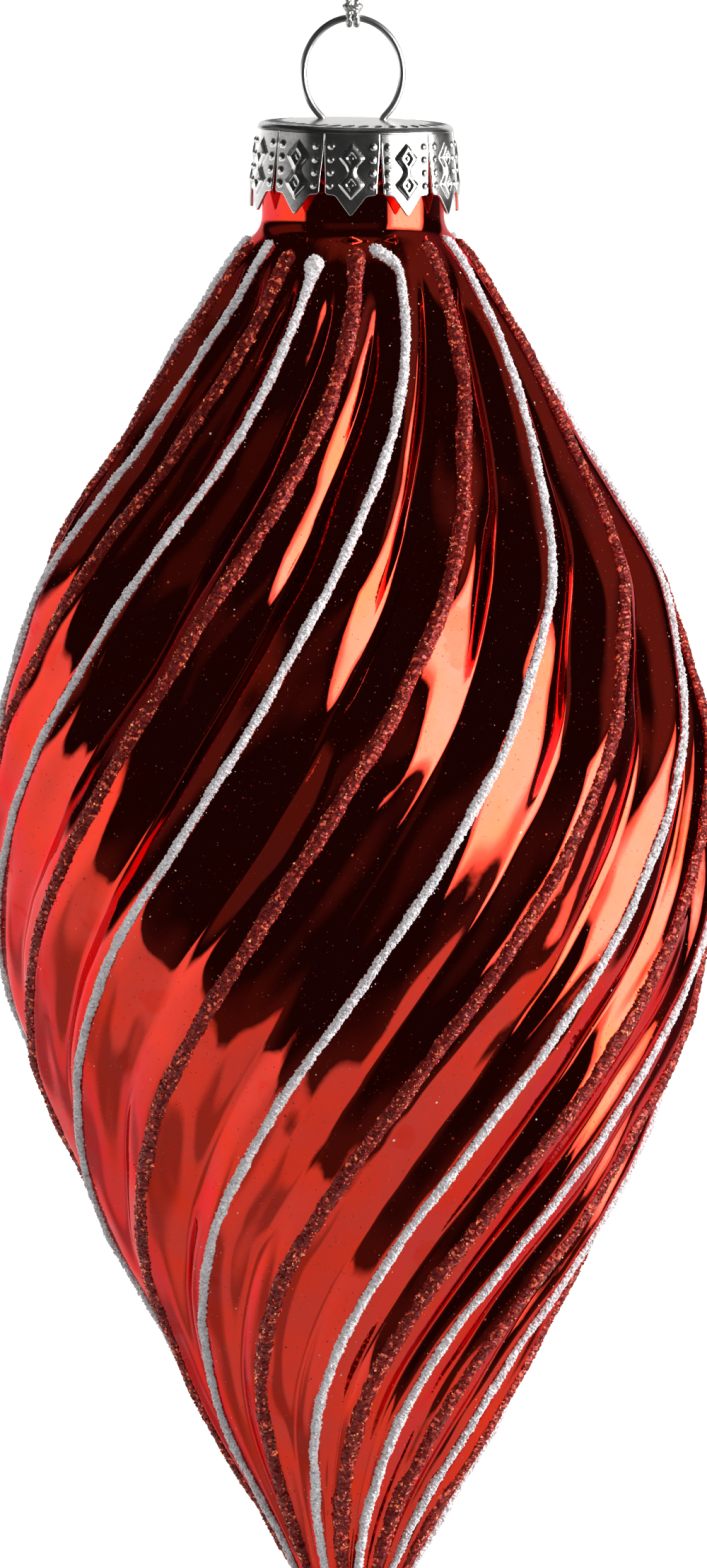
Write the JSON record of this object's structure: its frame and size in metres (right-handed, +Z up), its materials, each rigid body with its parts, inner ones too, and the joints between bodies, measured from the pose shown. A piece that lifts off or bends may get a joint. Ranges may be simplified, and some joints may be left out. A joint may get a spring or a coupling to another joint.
{
  "type": "icicle hanging ornament",
  "caption": "Twisted ribbed blown-glass drop with glitter trails, pressed crown cap, spring-wire hanger ring and thread loop, hung from above.",
  "frame": {"origin": "the point inside the top of the thread loop where a hook or twig carries the ornament", "axes": "+Z up along the ornament's axis, from the drop's tip through the cap and ring to the loop; the ring lies in the XZ plane and the front faces -Y"},
  "size_m": [0.0644, 0.0639, 0.1905],
  "materials": {
    "red_glass": "mirror-silvered, transparent red lacquer, high gloss",
    "white_frost": "coarse white granules in clear glue",
    "red_glitter": "fine red flake glitter in glue",
    "tin": "bright nickel-plated pressed tin",
    "wire": "polished plated spring wire",
    "thread": "twisted silver metallic thread"
  },
  "bodies": {
    "thread": {"hanging_thread": "thread", "thread_knot": "thread"},
    "hitch": {"thread_hitch": "thread"},
    "hanger": {"wire_hanger": "wire"},
    "cap": {"crown_cap": "tin"},
    "glass": {"glass_body": "red_glass", "white_frost_trail_1": "white_frost", "red_glitter_trail_1": "red_glitter", "white_frost_trail_2": "white_frost", "red_glitter_trail_2": "red_glitter", "white_frost_trail_3": "white_frost", "red_glitter_trail_3": "red_glitter", "white_frost_trail_4": "white_frost", "red_glitter_trail_4": "red_glitter", "white_frost_trail_5": "white_frost", "red_glitter_trail_5": "red_glitter", "white_frost_trail_6": "white_frost", "red_glitter_trail_6": "red_glitter", "white_frost_trail_7": "white_frost", "red_glitter_trail_7": "red_glitter", "white_frost_trail_8": "white_frost", "red_glitter_trail_8": "red_glitter", "white_frost_trail_9": "white_frost", "red_glitter_trail_9": "red_glitter"}
  },
  "joints": [
    {"name": "thread_spin", "type": "hinge", "parent": "thread", "child": "hitch", "pos_m": [0, 0, -0.0408], "axis": [0, 0, 1], "continuous": true},
    {"name": "ring_swing", "type": "hinge", "parent": "hitch", "child": "hanger", "pos_m": [0, 0, -0.0423], "axis": [1, 0, 0], "range_deg": [-85, 85]},
    {"name": "hanger_draw", "type": "slide", "parent": "hanger", "child": "cap", "axis": [0, 0, -1], "range_m": [0, 0.003]},
    {"name": "glass_pull_off", "type": "slide", "parent": "cap", "child": "glass", "axis": [0, 0, -1], "range_m": [0, 0.03]}
  ]
}
